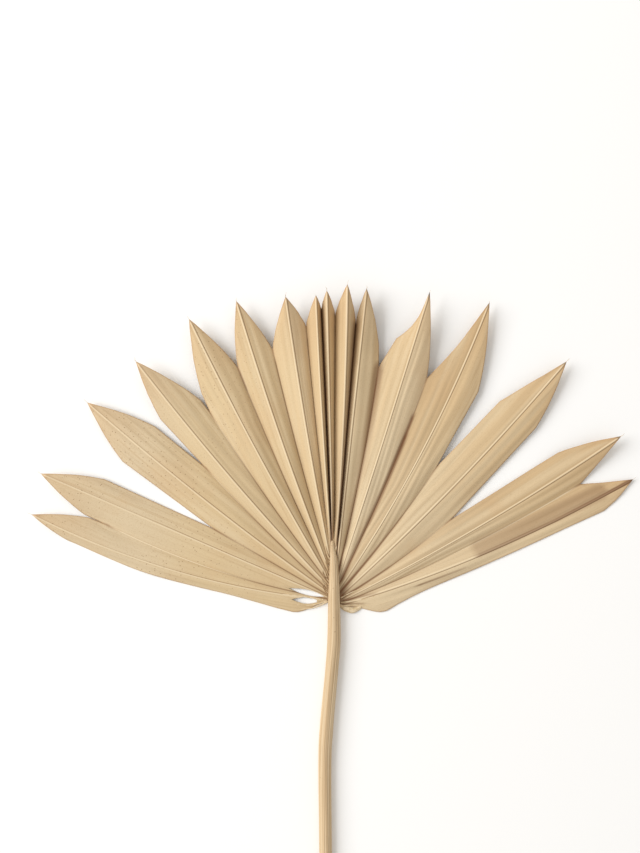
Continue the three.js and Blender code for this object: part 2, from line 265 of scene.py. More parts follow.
valleys = [new_valley(index) for index in range(len(segments) + 1)]
for segment in segments:
    segment.valleys = valleys[segment.index:segment.index + 2]
    segment.margins = [margin_points(segment, side) for side in (0, 1)]
print("notch rows:", [valley.row for valley in valleys])

# %% [markdown]
# ## Heights
#
# Seen from the side, the fan is a low tent. The outer segments lie almost flat, the middle ones are pinched
# into steep narrow pleats that stand several millimetres high, and the dry tips curl up a little, each to its
# own amount. The rib's rise grows from nothing at the spine, and is never steeper than a tight fold allows.

# %% Heights of ribs and margins
BLADE_THICKNESS = 0.45
STEEPEST_FOLD = 1.7
RISE_STARTS_AT = 0.02
FULL_RISE_AT = 0.35
HUB_RISE = 1.8  # near the hub no rib rises less
HUB_RISE_ENDS = (0.3, 0.65)
CROWN = 3.0
CROWN_STARTS = 25.0
CROWN_FULL = 80.0
CROWN_REACH = math.radians(76)
TIP_CURL = 4.0
TIP_CURL_STEP = 2.4


def valley_height(point):
    """Height of the sheet in the valleys: flat at the hub and the outer margins, raised in between."""
    bearing = min(abs(math.atan2(point.x, point.y)) / CROWN_REACH, 1)
    crown = 0.5 + 0.5 * math.cos(math.pi * bearing)
    return BLADE_THICKNESS / 2 + CROWN * crown * smoothstep(point.length, CROWN_STARTS, CROWN_FULL)


def raise_segment(segment):
    """Adds the rib's points and the heights of the rib and of both margins, row by row."""
    first, second = segment.margins
    shares = [(share_along(a, segment) + share_along(b, segment)) / 2 for a, b in zip(first, second)]
    shares[0] = 0.0
    shares[-1] = 1.0
    segment.shares = shares
    segment.rib = [segment.rib_line(share) for share in shares]
    curl = TIP_CURL * (0.5 + 0.5 * math.sin(TIP_CURL_STEP * segment.index))
    segment.rib_heights = []
    for row, (share, point) in enumerate(zip(shares, segment.rib)):
        if row <= CUT_ROW:
            run = min((first[row] - point).length, (second[row] - point).length)
            grown = min(max((share - RISE_STARTS_AT) / (FULL_RISE_AT - RISE_STARTS_AT), 0), 1)
            extra = max(HUB_RISE - segment.rise, 0) * smoothstep(share, HUB_RISE_ENDS[1], HUB_RISE_ENDS[0])
            rise = min((segment.rise + extra) * math.sin(math.pi / 2 * grown), STEEPEST_FOLD * run)
        segment.rib_heights.append(valley_height(point) + rise + curl * share ** 3)
    segment.margin_heights = []
    for points, valley in zip(segment.margins, segment.valleys):
        heights = []
        for row, point in enumerate(points[:CUT_ROW + 1]):
            lifted = max(row - valley.row, 0) / (ROWS - valley.row)
            heights.append(valley_height(point) + curl * lifted ** 3)
        for row in range(CUT_ROW + 1, ROWS + 1):
            share = (row - CUT_ROW) / (ROWS - CUT_ROW)
            heights.append(heights[CUT_ROW] * (1 - share) + segment.rib_heights[-1] * share)
        segment.margin_heights.append(heights)


for segment in segments:
    raise_segment(segment)
print("highest rib:", round(max(max(segment.rib_heights) for segment in segments), 2), "mm")

# %% [markdown]
# ## The blade
#
# The dry blade is a third of a millimetre thick and springy. Its ribs stand out as fine pale cords with a
# groove on each side, faint veins run along the flanks, and the sheet has buckled a little while drying. One
# grid for each segment gives all of that: an operator makes the grid, and each of its points is then moved to
# its place. The grids are welded along the valleys, and a Solidify modifier gives the sheet its thickness.

# %% Relief of one segment
FLANK_COLUMNS = 26
RIB_CROWDING = 1.4  # columns lie closer together beside the rib
FLANK_ARCH = 0.2
RIB_BEAD = 0.14
RIB_RADIUS = 0.2
RIB_GROOVE = 0.1
GROOVE_AT = 0.55
GROOVE_WIDTH = 0.22
BAND_HEIGHT = 0.11
BAND_SPACING = 4.0
BAND_WANDER = 0.8
BUCKLE = 0.5
BUCKLE_LENGTH = 24.0
BUCKLE_EASE = 4  # rows before the tip over which it fades
FLUTTER = 0.6
FLUTTER_LENGTH = 17.0
FLUTTER_EASE = 8


def relief(segment, row, across, run):
    """Fine height at a point, added to the roof of the segment, in millimetres."""
    share = segment.shares[row]
    valley = segment.valleys[0 if across < 0 else 1]
    off_rib = abs(across) * run
    off_margin = run - off_rib
    free = smoothstep(row, valley.row, valley.row + 6) if valley.joined else smoothstep(row, 2, 16)
    grown = smoothstep(share, 0.03, 0.2)
    bead = RIB_BEAD * math.exp(-((off_rib / RIB_RADIUS) ** 2))
    groove = RIB_GROOVE * math.exp(-(((off_rib - GROOVE_AT) / GROOVE_WIDTH) ** 2))
    length = share * (segment.tip - segment.root).length
    flank = segment.index * 5.3 + (11 if across < 0 else 0)
    wander = BAND_WANDER * noise.noise((flank, off_rib * 0.1, length * 0.012))
    band = BAND_HEIGHT * math.sin(math.tau * (off_rib / BAND_SPACING + wander))
    band *= smoothstep(off_rib, 0.8, 2.5) * smoothstep(off_margin, 0.1, 1.5)
    middle = 4 * abs(across) * (1 - abs(across))
    buckle = BUCKLE * middle * smoothstep(ROWS - row, 0, BUCKLE_EASE)
    buckle *= noise.noise((segment.index * 7.1 + 3, across * 1.1, length / BUCKLE_LENGTH))
    flutter = FLUTTER * free * across * across * smoothstep(ROWS - row, 0, FLUTTER_EASE)
    flutter *= noise.noise((segment.index * 2.3, across * 0.6 + 9, length / FLUTTER_LENGTH))
    return grown * (bead - groove + band + buckle + flutter)


def blade_point(segment, row, across):
    """A point of the sheet and its run, the width of its flank there, in millimetres."""
    side = 0 if across < 0 else 1
    rib = segment.rib[row]
    margin = segment.margins[side][row]
    run = (margin - rib).length
    if row == 0:
        plan = spring_of(segment, across)
        return Vector((plan.x, plan.y, BLADE_THICKNESS / 2)), run
    plan = rib.lerp(margin, abs(across))
    height = segment.rib_heights[row] * (1 - abs(across)) + segment.margin_heights[side][row] * abs(across)
    height += FLANK_ARCH * run * abs(across) * (1 - abs(across)) * smoothstep(row, 0, 9)
    height += relief(segment, row, across, run)
    return Vector((plan.x, plan.y, max(height, BLADE_THICKNESS / 2))), run


def column_share(column):
    """How far across a column lies, from -1 at one margin over 0 at the rib to 1 at the other."""
    offset = (column - FLANK_COLUMNS) / FLANK_COLUMNS
    return math.copysign(abs(offset) ** RIB_CROWDING, offset)


print("relief beside a rib:", round(relief(segments[3], 30, 0.0, 9.0), 3), "mm")

# %% [markdown]
# ## Grids for the segments
#
# Each grid also carries what its finish needs to follow the leaf and not the room: how far a point is from
# the rib and along it, which segment it is on, and how far it is from a margin that is free. These go into
# three UV maps, because a UV map holds its own value on each side of a shared valley.

# %% Segment grids
FREE_ROWS = 2


def add_segment(bm, segment, maps):
    """Adds one segment of the sheet to the mesh, with its UV maps."""
    made = bmesh.ops.create_grid(bm, x_segments=2 * FLANK_COLUMNS, y_segments=ROWS, size=1)["verts"]
    length = (segment.tip - segment.root).length
    facts = {}
    for vert in made:
        column = round((vert.co.x + 1) * FLANK_COLUMNS)
        row = round((vert.co.y + 1) / 2 * ROWS)
        across = column_share(column)
        point, run = blade_point(segment, row, across)
        valley = segment.valleys[0 if across < 0 else 1]
        free = smoothstep(row, valley.row - FREE_ROWS, valley.row) if valley.joined else 1.0
        share = segment.shares[row]
        facts[vert] = {
            "grain": (across * run, share * length),
            "place": (segment.index + 0.5 + 0.49 * across, share),
            "edge": ((1 - abs(across)) * run, free),
        }
        vert.co = placed(*point)
    for face in {face for vert in made for face in vert.link_faces}:
        for loop in face.loops:
            for name, uv_map in maps.items():
                loop[uv_map].uv = facts[loop.vert][name]


blade_mesh = bmesh.new()
blade_maps = {name: blade_mesh.loops.layers.uv.new(name) for name in ("grain", "place", "edge")}
for segment in segments:
    add_segment(blade_mesh, segment, blade_maps)
print("blade grids:", len(blade_mesh.faces), "faces")

# %% [markdown]
# ## Spine and tears
#
# The segments spring from a narrow flat strip under the stalk. A last grid fills it, with as many rows as the
# segments have columns along its edges. Low on the left the real leaf is torn in two places beside the hub:
# there the faces inside a lens-shaped slit are taken out.

# %% Spine, tears and weld
SPINE_COLUMNS = 4
WELD = 0.02
TEARS = [((-18.3, 4.6), (-4.1, 1.2), 1.2), ((-17.0, 0.0), (-6.2, -0.8), 1.4)]  # ends and half width


def add_spine(bm):
    """Adds the flat strip between the roots of the left and the right segments."""
    steps = 2 * FLANK_COLUMNS * SEGMENTS_A_SIDE
    made = bmesh.ops.create_grid(bm, x_segments=SPINE_COLUMNS, y_segments=steps, size=1)["verts"]
    for vert in made:
        step = round((vert.co.y + 1) / 2 * steps)
        place, column = divmod(step, 2 * FLANK_COLUMNS)
        root = ROOTS_A_SEGMENT * place + ROOTS_A_SEGMENT / 2 * (1 + column_share(column))
        left = spring_point(root, "left")
        right = spring_point(root, "right")
        plan = left.lerp(right, (vert.co.x + 1) / 2)
        vert.co = placed(plan.x, plan.y, BLADE_THICKNESS / 2)


def tear_open(bm, start, end, half_width):
    """Takes out the faces inside a lens and draws the edge that is left smoothly along it."""
    start = Vector(start)
    along = Vector(end) - start
    aside = Vector((-along.y, along.x)).normalized()

    def in_lens(place):
        plan = (place - hub).to_2d() / MM - start
        share = plan.dot(along) / along.length_squared
        reach = half_width * math.sin(math.pi * min(max(share, 0), 1)) ** 0.8
        return share, plan.dot(aside), reach

    sound = {vert for vert in bm.verts if vert.is_boundary}
    facts = {face: in_lens(face.calc_center_median()) for face in bm.faces}
    torn = [face for face, (share, off, reach) in facts.items() if 0 < share < 1 and abs(off) < reach]
    bmesh.ops.delete(bm, geom=torn, context="FACES")
    edge = [vert for vert in bm.verts if vert.is_boundary and vert not in sound]
    for vert in edge:
        share, off, reach = in_lens(vert.co)
        shift = aside * (math.copysign(reach, off) - off)
        vert.co += Vector((shift.x, shift.y, 0)) * MM
    near = {other for vert in edge for link in vert.link_edges for other in link.verts} - set(edge)
    for _ in range(3):
        bmesh.ops.smooth_vert(bm, verts=list(near), factor=0.5, use_axis_x=True, use_axis_y=True)
    return len(torn)


add_spine(blade_mesh)
bmesh.ops.remove_doubles(blade_mesh, verts=blade_mesh.verts, dist=WELD * MM)
torn_out = sum(tear_open(blade_mesh, *tear) for tear in TEARS)
print("blade:", len(blade_mesh.faces), "faces, with", torn_out, "torn out")

# %% [markdown]
# ## Stains and painted shade
#
# Some folds are browner than the rest. The crease along the last rib, the patch above it and the spots at
# the notches are real stains. The deep slits in the middle and the flank beside one of them, several valleys
# to the right of it, a recess at the hub and the grooves low on the right are painted shade, darker where
# shade falls in the folds. Each is a short path with a width. How strongly a point of the blade lies in one
# of them is kept with the mesh, for the finish to read.

# %% Stains and painted shade


def stretch(line, start, end):
    """Three points on a part of a fold."""
    return [line(start), line((start + end) / 2), line(end)]


last_rib = segments[-1].rib_line
# Path, half width, and strength at its start and at its end.
STAINS_AND_SHADE = [
    # Painted shade: valleys to the right of the middle, darkened near their notches and towards the hub.
    (stretch(valleys[11].line, 1.0, 0.15), 1.3, 0.8, 0.4),
    (stretch(valleys[11].line, 1.0, 0.5), 3.0, 0.7, 0.15),
    (stretch(valleys[12].line, 0.72, 0.3), 1.5, 1.0, 0.6),
    (stretch(valleys[12].line, 0.82, 0.03), 1.2, 0.8, 0.7),
    (stretch(valleys[13].line, 0.6, 0.02), 0.9, 0.3, 0.9),
    (stretch(valleys[14].line, 0.45, 0.02), 0.8, 0.3, 0.8),
    (stretch(valleys[11].line, 0.5, 0.02), 0.8, 0.5, 0.9),
    # Painted shadow in the two deep slits in the middle, and painted shade on the flank beside one of them.
    (stretch(valleys[8].line, 1.0, 0.0), 0.9, 1.0, 1.0),
    (stretch(valleys[10].line, 1.0, 0.0), 0.9, 1.0, 1.0),
    (stretch(valleys[10].line, 1.0, 0.1), 2.4, 0.4, 0.15),
    # Real stains: the crease along the last rib and the brown patch above it.
    (stretch(last_rib, 1.0, 0.45), 1.0, 1.0, 0.7),
    ([Vector((110.4, 44.6)), Vector((60.6, 21.8))], 5.0, 0.5, 0.4),
    # A thin dark line low on the right.
    ([Vector((33.6, 5.4)), Vector((53.5, 12.9))], 0.5, 0.8, 0.3),
    # Real stains beside two notches on the left.
    (stretch(valleys[5].line, 1.0, 0.88), 0.6, 0.9, 0.5),
    (stretch(valleys[2].line, 1.0, 0.8), 0.5, 0.9, 0.2),
    # Painted shade in a recess at the hub, and in the grooves between the cords low on the right.
    ([Vector((3.0, 2.0)), Vector((5.5, 5.5))], 2.0, 1.0, 0.3),
    ([Vector((2.8, -0.6)), Vector((17.0, 2.4))], 0.7, 0.9, 0.3),
    ([Vector((2.8, -2.0)), Vector((13.0, -1.7))], 0.6, 0.9, 0.4),
    ([Vector((2.8, -3.2)), Vector((10.0, -3.4))], 0.6, 0.9, 0.5),
]
STAIN_AND_SHADE_CORE = 0.4  # of the half width
NOTCH_SPOT = 0.9
NOTCH_BROWN = 0.6


def stain_and_shade_at(point):
    """How brown a point in plan is, from 0 to 1."""
    brown = 0.0
    for stops, half_width, first, last in STAINS_AND_SHADE:
        for span, (start, end) in enumerate(zip(stops, stops[1:])):
            along = end - start
            share = min(max((point - start).dot(along) / along.length_squared, 0), 1)
            done = (span + share) / (len(stops) - 1)
            depth = smoothstep((point - start - along * share).length, half_width, STAIN_AND_SHADE_CORE * half_width)
            brown = max(brown, depth * (first + (last - first) * done))
    for notch, _ in VALLEYS:
        brown = max(brown, NOTCH_BROWN * smoothstep((point - Vector(notch)).length, NOTCH_SPOT, 0))
    return brown


stain_and_shade_layer = blade_mesh.verts.layers.float.new("stain_and_shade")
for vert in blade_mesh.verts:
    vert[stain_and_shade_layer] = stain_and_shade_at((vert.co - hub).to_2d() / MM)
print("stained points:", sum(vert[stain_and_shade_layer] > 0.1 for vert in blade_mesh.verts))

# %% Blade object


def new_piece(name, bm):
    """Turns a mesh in the making into a smooth-shaded object at the origin."""
    mesh = bpy.data.meshes.new(name)
    bm.to_mesh(mesh)
    bm.free()
    mesh.shade_smooth()
    piece = bpy.data.objects.new(name, mesh)
    bpy.context.scene.collection.objects.link(piece)
    return piece


blade_tree = BVHTree.FromBMesh(blade_mesh)
blade = new_piece("pleated_fan", blade_mesh)
solidify = blade.modifiers.new("thickness", "SOLIDIFY")
solidify.thickness = BLADE_THICKNESS * MM
solidify.offset = 0
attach(blade, "root")
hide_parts("fan_blade")
print(blade.name, len(blade.data.polygons), "faces")

# %% [markdown]
# ## The stalk
#
# The stalk is a straw-like stem, flat below and arched above. At the hub it steps up over the blade and
# tapers out as the rib of the fan's middle. Its skin has fine lengthwise ridges, and its lower end is cut at
# a slant. A grid rolled into a tube makes it, with the seam welded and the two ends filled.

# %% Stalk
# y and x of the middle, width and height of the top, from the cut end to the tip of the rib.
STALK = [
    (-285, -0.5, 5.8, 4.7), (-230, -2, 5.6, 4.6), (-165, -3.2, 5.5, 4.6), (-105, -3.5, 5.4, 4.6),
    (-69, -3.8, 5.6, 4.7), (-53, -3.1, 5.8, 4.8), (-30, -1, 5.6, 5), (-16.5, 0, 5.7, 5.1),
    (0, 0, 5, 5.2), (9, 0, 4.2, 4.6), (16.5, -0.1, 3.2, 3.4), (21, -0.5, 1.9, 2.2), (24.5, -0.6, 0.8, 1.6),
]
STALK_STEPS = 360
STALK_SIDES = 56
STALK_UNDER = 12  # columns back along the flat underside
STALK_FLAT = 0.6
STALK_FLANK = 0.45
STALK_ARCH = 0.8
STALK_STEP = (-5.2, -3.8)
STALK_SEAT = 1.15
STALK_CUT_SLANT = 0.35
STALK_WIDENING = 1.06  # the shoulders bulge over the lower edges
STALK_RIDGE = 0.11
STALK_GROOVES = [(0.37, 0.16), (0.29, 0.12), (0.62, 0.06)]  # place around the top and depth
STALK_GROOVE_WIDTH = 0.018
STALK_SWELL = 0.12
STALK_SKIN = (8.5, 155.0)  # half the width and half the length of the skin, for its grain
stalk_line = smooth_line([Vector(station) for station in STALK])


def stalk_point(share, turn):
    """A point of the stalk's skin: share runs along it, turn from one lower edge over the top."""
    y, x, width, top = stalk_line(share)
    underside = STALK_SEAT * smoothstep(y, *STALK_STEP)
    shoulder = max(math.sin(math.pi * turn), 0) ** STALK_ARCH
    reach = STALK_FLAT + (1 - STALK_FLAT) * min(1, shoulder / STALK_FLANK)
    ridge = noise.noise((turn * 26, y * 0.012, 4.0)) + 0.5 * noise.noise((turn * 61, y * 0.03, 9.0))
    for at, depth in STALK_GROOVES:
        ridge -= depth / STALK_RIDGE * math.exp(-(((turn - at) / STALK_GROOVE_WIDTH) ** 2))
    swell = STALK_SWELL * noise.noise((2.0, y * 0.06, 1.0))
    grow = 1 + (STALK_RIDGE * ridge + swell) * min(shoulder, 1) * 2 / width
    lean = STALK_CUT_SLANT if share == 0 else 0
    height = underside + (top - underside) * shoulder * grow
    aside = width / 2 * math.cos(math.pi * turn) * reach * STALK_WIDENING * grow
    return Vector((x + aside, y + lean * height, height))


stalk_mesh = bmesh.new()
stalk_map = stalk_mesh.loops.layers.uv.new("grain")
around = STALK_SIDES + STALK_UNDER
stalk_verts = bmesh.ops.create_grid(stalk_mesh, x_segments=around, y_segments=STALK_STEPS, size=1)["verts"]
for face in stalk_mesh.faces:
    for loop in face.loops:
        loop[stalk_map].uv = [(loop.vert.co[axis] + 1) * STALK_SKIN[axis] for axis in (0, 1)]
for vert in stalk_verts:
    share = (vert.co.y + 1) / 2
    column = round((vert.co.x + 1) / 2 * around)
    if column <= STALK_SIDES:
        point = stalk_point(share, 1 - column / STALK_SIDES)
    else:
        back = (column - STALK_SIDES) / STALK_UNDER
        point = stalk_point(share, 0).lerp(stalk_point(share, 1), back)
    vert.co = placed(*point)
bmesh.ops.remove_doubles(stalk_mesh, verts=stalk_mesh.verts, dist=WELD * MM / 4)
ends = [edge for edge in stalk_mesh.edges if edge.is_boundary]
bmesh.ops.holes_fill(stalk_mesh, edges=ends, sides=0)
for edge in ends:
    edge.smooth = False
bmesh.ops.recalc_face_normals(stalk_mesh, faces=stalk_mesh.faces)
stalk = new_piece("stalk_and_rib", stalk_mesh)
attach(stalk, "root")
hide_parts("stalk")
print(stalk.name, len(stalk.data.polygons), "faces")

# %% [markdown]
# ## Cords, fibres and threads
#
# Where the blade narrows into the stalk its ribs stand free as thin cords, the stalk splits into a few fibres,
# and the trimmed tips end in short threads. Each is a tapering line with a round section. The cords and the
# fibres are laid on the blade at the height that a ray from above finds there.

# %% Strands
STRAND_STEPS = 8
# Plan of each cord in millimetres from the hub, and its radius at both ends.
BASE_CORDS = [
    ([(3.0, -1.3), (10.8, -0.2), (19.0, 1.9)], 0.34, 0.10),
    ([(3.0, -2.6), (9.1, -2.3), (14.5, -2.5)], 0.30, 0.10),
    ([(2.9, 0.6), (8.0, 3.2), (17.0, 6.6)], 0.30, 0.08),
    ([(-22.0, 2.3), (-14.0, 1.4), (-4.4, -0.1)], 0.16, 0.30),
    ([(-15.4, -2.2), (-9.1, -2.4), (-3.0, -0.7)], 0.14, 0.28),
    ([(-14.1, -4.2), (-7.9, -3.3), (-2.6, -0.9)], 0.14, 0.28),
]
RIB_CORDS = [
    ([(-0.9, 18.5), (-1.3, 25.0), (-2.0, 33.0)], 0.42, 0.10),
    ([(-0.3, 20.0), (-0.3, 26.0), (-0.4, 34.0)], 0.42, 0.10),
    ([(0.5, 18.5), (1.2, 24.0), (2.3, 33.0)], 0.38, 0.10),
]
CORD_LIFT = 0.2
EDGE_FIBRES = 16
FIBRES_FROM = Vector((-2.5, 1.0))  # along the left edge of the stalk
FIBRES_TO = Vector((-1.0, 17.0))
FIBRE_REACH = (1.2, 3.4)
FIBRE_CLIMB = (2.5, 6.0)
FIBRE_LIFT = 0.3
FIBRE_RADII = (0.2, 0.05)
THREADS_A_TIP = (1, 2)
THREAD_LENGTH = (0.6, 2.2)
THREAD_ROOT = 0.4  # hidden in the tip
THREAD_SWAY = (-0.3, 0.3)
THREAD_LIFT = (-0.1, 0.3)
THREAD_RADII = (0.07, 0.03)
ABOVE_ALL = 60.0


def height_on_blade(x, y):
    """Height of the blade's skin in millimetres, where there is any below."""
    hit = blade_tree.ray_cast(placed(x, y, ABOVE_ALL), Vector((0, 0, -1)))[0]
    return hit.z / MM if hit else BLADE_THICKNESS


def laid(plan, lift):
    """The points of a line in plan, laid on the blade."""
    return [Vector((x, y, height_on_blade(x, y) + lift)) for x, y in plan]


def new_strands(name, strands):
    """One piece of round tapering strands: points in millimetres from the hub, first and last radius."""
    curve = bpy.data.curves.new(name, "CURVE")
    curve.dimensions = "3D"
    curve.bevel_depth = 1
    curve.bevel_resolution = 1
    curve.use_fill_caps = True
    for points, first, last in strands:
        line = smooth_line(points)
        spline = curve.splines.new("POLY")
        spline.points.add(STRAND_STEPS)
        for step, knot in enumerate(spline.points):
            share = step / STRAND_STEPS
            knot.co = (*placed(*line(share)), 1)
            knot.radius = (first + (last - first) * share) * MM
    piece = bpy.data.objects.new(name, curve)
    bpy.context.scene.collection.objects.link(piece)
    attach(piece, "root")
    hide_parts("fan_blade")
    return piece


chance = random.Random(7)
edge_fibres = []
for index in range(EDGE_FIBRES):
    share = (index + chance.random()) / EDGE_FIBRES
    x, y = FIBRES_FROM.lerp(FIBRES_TO, share)
    reach, climb = chance.uniform(*FIBRE_REACH), chance.uniform(*FIBRE_CLIMB)
    plan = [(x, y), (x - 0.6 * reach, y + 0.4 * climb), (x - reach, y + climb)]
    edge_fibres.append((laid(plan, FIBRE_LIFT), *FIBRE_RADII))
threads = []
for segment in segments:
    outwards = (segment.tip - segment.rib[-2]).normalized().to_3d()
    start = Vector((*segment.tip, segment.rib_heights[-1])) - outwards * THREAD_ROOT
    for _ in range(chance.randint(*THREADS_A_TIP)):
        length = chance.uniform(*THREAD_LENGTH)
        bend = Vector([chance.uniform(*span) for span in (THREAD_SWAY, THREAD_SWAY, THREAD_LIFT)])
        middle = start + outwards * length * 0.6 + bend * 0.3
        end = start + (outwards + bend) * (length + THREAD_ROOT)
        threads.append(([start, middle, end], *THREAD_RADII))
base_cords = [(laid(plan, CORD_LIFT), first, last) for plan, first, last in BASE_CORDS + RIB_CORDS]
cords = new_strands("base_cords", base_cords)
fibres = new_strands("hub_fibres", edge_fibres)
tip_threads = new_strands("tip_threads", threads)
print(len(base_cords), "cords,", len(edge_fibres), "fibres and", len(threads), "threads")

# %% [markdown]
# ## A crumpled lobe
#
# Low on the right a small lobe of the blade has dried into a crumple beside the stalk. It is a grid drawn
# along a short curve, arched across, and crumpled by noise that fades at both ends.

# %% Crumpled lobe
LOBE_LINE = [(2.4, -2.4), (5.0, -3.9), (8.2, -4.4), (11.5, -3.2)]
LOBE_GRID = (36, 14)
LOBE_END_WIDTH = 0.15
LOBE_HALF_WIDTH = 1.05
LOBE_FOOT = 0.5
LOBE_LOWEST = 0.3
LOBE_HEIGHT = 0.9
LOBE_CRUMPLE = 0.7
LOBE_THICKNESS = 0.35
lobe_line = smooth_line([Vector(stop) for stop in LOBE_LINE])
lobe_mesh = bmesh.new()
lobe_columns, lobe_rows = LOBE_GRID
lobe_verts = bmesh.ops.create_grid(lobe_mesh, x_segments=lobe_columns, y_segments=lobe_rows, size=1)["verts"]
for vert in lobe_verts:
    share = (vert.co.x + 1) / 2
    across = vert.co.y
    middle = lobe_line(share)
    swell = math.sin(math.pi * share)
    half = LOBE_END_WIDTH + LOBE_HALF_WIDTH * swell ** 0.7
    crumple = LOBE_CRUMPLE * noise.noise((share * 5, across * 2.2, 3)) * swell
    height = LOBE_FOOT + LOBE_HEIGHT * (1 - across * across) * swell + crumple
    vert.co = placed(middle.x, middle.y + across * half, max(height, LOBE_LOWEST))
lobe = new_piece("crumpled_base", lobe_mesh)
lobe_skin = lobe.modifiers.new("thickness", "SOLIDIFY")
lobe_skin.thickness = LOBE_THICKNESS * MM
lobe_skin.offset = 0
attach(lobe, "root")
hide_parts("fan_blade")
print(lobe.name, len(lobe.data.polygons), "faces")

# %% [markdown]
# ## Finishes
#
# A finish is a tree of nodes. Writing each node by hand hides the idea, so a small class wraps a node's
# output: sums and products of such values add the Math nodes, and one method adds any other node.

# %% Values and finishes


class Value:
    """One output of a node. Arithmetic on it adds Math nodes to the same finish."""

    def __init__(self, finish, socket):
        self.finish = finish
        self.socket = socket

    def math(self, operation, *values):
        return self.finish.node("ShaderNodeMath", {"operation": operation}, dict(enumerate(values)))

    def __add__(self, other):
        return self.math("ADD", self, other)

    def __rsub__(self, other):
        return self.math("SUBTRACT", other, self)

    def __mul__(self, other):
        return self.math("MULTIPLY", self, other)

    __radd__ = __add__
    __rmul__ = __mul__

    def size(self):
        return self.math("ABSOLUTE", self)

    def fade(self, low, high):
        """0 at low and 1 at high, eased, whichever of the two is larger."""
        inputs = {"Value": self, "From Min": low, "From Max": high}
        return self.finish.node("ShaderNodeMapRange", {"interpolation_type": "SMOOTHSTEP"}, inputs)

    def parts(self):
        """The three parts of a vector."""
        return [self.finish.node("ShaderNodeSeparateXYZ", {}, {0: self}, part) for part in range(3)]


class Finish:
    """A material in the making."""

    def __init__(self, name):
        self.material = bpy.data.materials.new(name)
        self.material.use_nodes = True
        self.tree = self.material.node_tree
        self.shader = self.tree.nodes["Principled BSDF"]

    def plug(self, socket, value):
        if isinstance(value, Value):
            self.tree.links.new(value.socket, socket)
        else:
            socket.default_value = value

    def node(self, kind, settings, inputs, output=0):
        """Adds a node, sets it up, fills its inputs and gives one of its outputs."""
        made = self.tree.nodes.new(kind)
        for name, setting in settings.items():
            setattr(made, name, setting)
        for name, value in inputs.items():
            self.plug(made.inputs[name], value)
        return Value(self, made.outputs[output])

    def mix(self, share, first, second, blend="MIX"):
        settings = {"data_type": "RGBA", "blend_type": blend}
        colours = [value if isinstance(value, Value) else (*value, 1.0) for value in (first, second)]
        return self.node("ShaderNodeMix", settings, {0: share, 6: colours[0], 7: colours[1]}, 2)

    def vector(self, x, y, z):
        return self.node("ShaderNodeCombineXYZ", {}, {0: x, 1: y, 2: z})

    def noise(self, vector, scale, detail=2.0, roughness=0.5):
        inputs = {"Vector": vector, "Scale": scale, "Detail": detail, "Roughness": roughness}
        return self.node("ShaderNodeTexNoise", {}, inputs)

    def dots(self, vector, scale):
        """Distance to the nearest of a scatter of points."""
        inputs = {"Vector": vector, "Scale": scale}
        return self.node("ShaderNodeTexVoronoi", {"voronoi_dimensions": "2D"}, inputs)

    def uv(self, name):
        return self.node("ShaderNodeUVMap", {"uv_map": name}, {}).parts()

    def place(self):
        """Place in millimetres from the hub."""
        spot = self.node("ShaderNodeTexCoord", {}, {}, "Object")
        moved = self.node("ShaderNodeVectorMath", {"operation": "SUBTRACT"}, {0: spot, 1: hub})
        return self.node("ShaderNodeVectorMath", {"operation": "SCALE"}, {0: moved, "Scale": 1 / MM})

    def finish(self, **inputs):
        for name, value in inputs.items():
            self.plug(self.shader.inputs[name.replace("_", " ").title()], value)
        return self.material

    def bump(self, height, strength, distance):
        inputs = {"Height": height, "Strength": strength, "Distance": distance}
        return self.node("ShaderNodeBump", {}, inputs)


print("values and finishes are ready")

# %% [markdown]
# ## Dry leaf
#
# The blade is a matt straw colour, a little greyer on the far left and beside the hub, and a little pinker on
# the right. Fine fibres run along it, broad pale bands cross the flanks from root to tip, small brown specks
# are scattered over it, the ribs are cream, the cut margins have browned, and the tips are darker. Painted
# shade darkens the creases, the hub and the shaded side of each rib, the cream of the ribs is set towards
# their lit side as a painted highlight, and single flanks are painted lighter or darker as painted light and
# shade.
# Most of this follows the leaf, so it is read from the UV maps of the blade.

# %% Dry leaf finish
STRAW_OUTER = (0.62, 0.495, 0.325)
STRAW_LEFT = (0.61, 0.465, 0.27)
STRAW_RIGHT = (0.605, 0.44, 0.248)
STRAW_TIP = (0.55, 0.355, 0.18)
# Pale band, dark fibre and rib cream also serve as painted light and shade on single flanks.
PALE_BAND_AND_PAINTED_LIGHT = (0.67, 0.535, 0.345)
DARK_FIBRE_AND_PAINTED_SHADE = (0.42, 0.28, 0.14)
RIB_CREAM_AND_PAINTED_LIGHT = (0.76, 0.62, 0.42)
# Painted shade, for the creases, the shaded side of the ribs and the hub.
PAINTED_SHADE_BROWN = (0.22, 0.11, 0.045)
STAIN_AND_SHADE_BROWN = (0.17, 0.065, 0.02)
RIM_BROWN = (0.45, 0.25, 0.12)
SPECK_BROWN = (0.24, 0.13, 0.06)
# Painted light and shade on single flanks, some shaded flanks painted lighter and some lit ones darker:
# where each starts, counted in segments, its colour and the colour's share.
PAINTED_LIGHT_AND_SHADE_FLANKS = [
    (6.5, RIB_CREAM_AND_PAINTED_LIGHT, 0.6), (11.5, RIB_CREAM_AND_PAINTED_LIGHT, 0.6), (12.0, DARK_FIBRE_AND_PAINTED_SHADE, 0.35), (14.0, DARK_FIBRE_AND_PAINTED_SHADE, 0.35),
    (15.5, PALE_BAND_AND_PAINTED_LIGHT, 0.6),
]
FLANK_WIDTH = 0.5
FLANK_EDGE = 0.02
GRAIN_DEPTH = 0.0003  # of the bump, in metres


